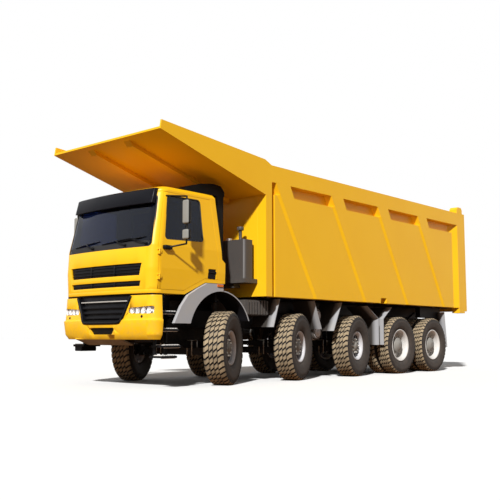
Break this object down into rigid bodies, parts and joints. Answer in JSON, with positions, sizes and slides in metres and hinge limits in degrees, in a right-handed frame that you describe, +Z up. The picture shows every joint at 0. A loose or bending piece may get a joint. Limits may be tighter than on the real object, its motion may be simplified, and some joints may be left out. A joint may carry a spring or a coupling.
{
  "type": "dump truck",
  "caption": "Yellow multi-axle rear-tipping dump truck with a high steel load bed, cab shield, steered front axles and twin-tyred driven rear axles.",
  "frame": {"origin": "middle of the truck's length and width on the ground", "axes": "+X forward, +Y to the truck's left, +Z up"},
  "size_m": [10.49, 3.0158, 4.202],
  "materials": {
    "yellow_paint": "gloss yellow enamel",
    "tyre_rubber": "dusty black rubber",
    "front_rim_paint": "grey paint",
    "rear_rim_paint": "silver paint",
    "black_steel": "black chassis paint",
    "spring_steel": "dark satin",
    "engine_iron": "plain casting",
    "grey_plastic": "grained grey",
    "black_plastic": "black grained",
    "tank_paint": "dark grey paint",
    "glass": "tinted glass",
    "lamp_glass": "clear lens",
    "seat_fabric": "woven",
    "hoist_steel": "ground rod"
  },
  "bodies": {
    "chassis": {"axles": "black_steel", "leaf_springs": "spring_steel", "chassis_frame": "black_steel", "engine": "engine_iron", "cab_front": "yellow_paint", "cab_roof": "yellow_paint", "cab_back": "yellow_paint", "cab_floor": "yellow_paint", "windscreen": "glass", "sun_visor": "black_plastic", "seats": "seat_fabric", "dashboard": "black_plastic", "front_bumper": "yellow_paint", "grilles": "black_plastic", "headlamps": "lamp_glass", "cab_steps": "grey_plastic", "mudguards": "grey_plastic", "chassis_tanks": "tank_paint", "air_intake": "black_plastic"},
    "bed": {"bed_floor": "yellow_paint", "bed_sides": "yellow_paint", "bed_front_wall": "yellow_paint", "bed_canopy": "yellow_paint"},
    "tailgate": {"tailgate": "yellow_paint"},
    "door_left": {"door_left": "yellow_paint", "door_glass_left": "glass", "mirror_left": "black_plastic"},
    "door_right": {"door_right": "yellow_paint", "door_glass_right": "glass", "mirror_right": "black_plastic"},
    "knuckle_1_left": {"knuckle_1_left": "black_steel"},
    "wheel_1_left": {"tyre_1_left": "tyre_rubber", "rim_1_left": "front_rim_paint"},
    "knuckle_1_right": {"knuckle_1_right": "black_steel"},
    "wheel_1_right": {"tyre_1_right": "tyre_rubber", "rim_1_right": "front_rim_paint"},
    "knuckle_2_left": {"knuckle_2_left": "black_steel"},
    "wheel_2_left": {"tyre_2_left": "tyre_rubber", "rim_2_left": "front_rim_paint"},
    "knuckle_2_right": {"knuckle_2_right": "black_steel"},
    "wheel_2_right": {"tyre_2_right": "tyre_rubber", "rim_2_right": "front_rim_paint"},
    "knuckle_3_left": {"knuckle_3_left": "black_steel"},
    "wheel_3_left": {"tyre_3_left": "tyre_rubber", "rim_3_left": "front_rim_paint"},
    "knuckle_3_right": {"knuckle_3_right": "black_steel"},
    "wheel_3_right": {"tyre_3_right": "tyre_rubber", "rim_3_right": "front_rim_paint"},
    "wheel_4_left": {"tyre_4_left": "tyre_rubber", "rim_4_left": "rear_rim_paint"},
    "wheel_4_right": {"tyre_4_right": "tyre_rubber", "rim_4_right": "rear_rim_paint"},
    "wheel_5_left": {"tyre_5_left": "tyre_rubber", "rim_5_left": "rear_rim_paint"},
    "wheel_5_right": {"tyre_5_right": "tyre_rubber", "rim_5_right": "rear_rim_paint"},
    "hoist_barrel": {"hoist_barrel": "black_steel"},
    "hoist_stage_1": {"hoist_stage_1": "hoist_steel"},
    "hoist_stage_2": {"hoist_stage_2": "hoist_steel"},
    "hoist_stage_3": {"hoist_stage_3": "hoist_steel"}
  },
  "joints": [
    {"name": "bed_tip", "type": "hinge", "parent": "chassis", "child": "bed", "pos_m": [-4.335, 0, 1.335], "axis": [0, -1, 0], "range_deg": [0, 45]},
    {"name": "tailgate_swing", "type": "hinge", "parent": "bed", "child": "tailgate", "pos_m": [-5.03, 0, 4], "axis": [0, 1, 0], "range_deg": [0, 70]},
    {"name": "door_left_swing", "type": "hinge", "parent": "chassis", "child": "door_left", "pos_m": [5.01, 1.176, 1.96], "axis": [0, 0, -1], "range_deg": [0, 70]},
    {"name": "door_right_swing", "type": "hinge", "parent": "chassis", "child": "door_right", "pos_m": [5.01, -1.176, 1.96], "axis": [0, 0, 1], "range_deg": [0, 70]},
    {"name": "steer_1_left", "type": "hinge", "parent": "chassis", "child": "knuckle_1_left", "pos_m": [3.515, 0.95, 0.625], "axis": [0, 0, 1], "range_deg": [-64, 12]},
    {"name": "spin_1_left", "type": "hinge", "parent": "knuckle_1_left", "child": "wheel_1_left", "pos_m": [3.44135, 1.101, 0.625], "axis": [-0.4384, 0.8988, 0], "continuous": true},
    {"name": "steer_1_right", "type": "hinge", "parent": "chassis", "child": "knuckle_1_right", "pos_m": [3.515, -0.95, 0.625], "axis": [0, 0, 1], "range_deg": [-64, 12]},
    {"name": "spin_1_right", "type": "hinge", "parent": "knuckle_1_right", "child": "wheel_1_right", "pos_m": [3.58865, -1.101, 0.625], "axis": [-0.4384, 0.8988, 0], "continuous": true},
    {"name": "steer_2_left", "type": "hinge", "parent": "chassis", "child": "knuckle_2_left", "pos_m": [1.565, 0.95, 0.625], "axis": [0, 0, 1], "range_deg": [-44.32, 8.32]},
    {"name": "spin_2_left", "type": "hinge", "parent": "knuckle_2_left", "child": "wheel_2_left", "pos_m": [1.51309, 1.10978, 0.625], "axis": [-0.309, 0.9511, 0], "continuous": true},
    {"name": "steer_2_right", "type": "hinge", "parent": "chassis", "child": "knuckle_2_right", "pos_m": [1.565, -0.95, 0.625], "axis": [0, 0, 1], "range_deg": [-44.32, 8.32]},
    {"name": "spin_2_right", "type": "hinge", "parent": "knuckle_2_right", "child": "wheel_2_right", "pos_m": [1.61692, -1.10978, 0.625], "axis": [-0.309, 0.9511, 0], "continuous": true},
    {"name": "steer_3_left", "type": "hinge", "parent": "chassis", "child": "knuckle_3_left", "pos_m": [-0.405, 0.95, 0.625], "axis": [0, 0, 1], "range_deg": [-25.36, 4.76]},
    {"name": "spin_3_left", "type": "hinge", "parent": "knuckle_3_left", "child": "wheel_3_left", "pos_m": [-0.43504, 1.11529, 0.625], "axis": [-0.1788, 0.9839, 0], "continuous": true},
    {"name": "steer_3_right", "type": "hinge", "parent": "chassis", "child": "knuckle_3_right", "pos_m": [-0.405, -0.95, 0.625], "axis": [0, 0, 1], "range_deg": [-25.36, 4.76]},
    {"name": "spin_3_right", "type": "hinge", "parent": "knuckle_3_right", "child": "wheel_3_right", "pos_m": [-0.37496, -1.11529, 0.625], "axis": [-0.1788, 0.9839, 0], "continuous": true},
    {"name": "spin_4_left", "type": "hinge", "parent": "chassis", "child": "wheel_4_left", "pos_m": [-2.105, 1.192, 0.625], "axis": [0, 1, 0], "continuous": true},
    {"name": "spin_4_right", "type": "hinge", "parent": "chassis", "child": "wheel_4_right", "pos_m": [-2.105, -1.192, 0.625], "axis": [0, 1, 0], "continuous": true},
    {"name": "spin_5_left", "type": "hinge", "parent": "chassis", "child": "wheel_5_left", "pos_m": [-3.595, 1.192, 0.625], "axis": [0, 1, 0], "continuous": true},
    {"name": "spin_5_right", "type": "hinge", "parent": "chassis", "child": "wheel_5_right", "pos_m": [-3.595, -1.192, 0.625], "axis": [0, 1, 0], "continuous": true},
    {"name": "hoist_swing", "type": "hinge", "parent": "chassis", "child": "hoist_barrel", "pos_m": [-1.30727, 0, 0.77], "axis": [0, -1, 0], "range_deg": [0, 22.51]},
    {"name": "hoist_slide_1", "type": "slide", "parent": "hoist_barrel", "child": "hoist_stage_1", "axis": [0.0695, 0, 0.9976], "range_m": [0, 0.76316]},
    {"name": "hoist_slide_2", "type": "slide", "parent": "hoist_stage_1", "child": "hoist_stage_2", "axis": [0.0695, 0, 0.9976], "range_m": [0, 0.76316]},
    {"name": "hoist_slide_3", "type": "slide", "parent": "hoist_stage_2", "child": "hoist_stage_3", "axis": [0.0695, 0, 0.9976], "range_m": [0, 0.76316]}
  ],
  "couplings": [
    {"joint": "steer_1_right", "follows": "steer_1_left", "ratio": 1},
    {"joint": "steer_2_left", "follows": "steer_1_left", "ratio": 0.69231},
    {"joint": "steer_2_right", "follows": "steer_1_left", "ratio": 0.69231},
    {"joint": "steer_3_left", "follows": "steer_1_left", "ratio": 0.39615},
    {"joint": "steer_3_right", "follows": "steer_1_left", "ratio": 0.39615},
    {"joint": "hoist_swing", "follows": "bed_tip", "ratio": 0.5},
    {"joint": "hoist_slide_1", "follows": "bed_tip", "m_per_rad": 0.97105},
    {"joint": "hoist_slide_2", "follows": "bed_tip", "m_per_rad": 0.97105},
    {"joint": "hoist_slide_3", "follows": "bed_tip", "m_per_rad": 0.97105}
  ]
}
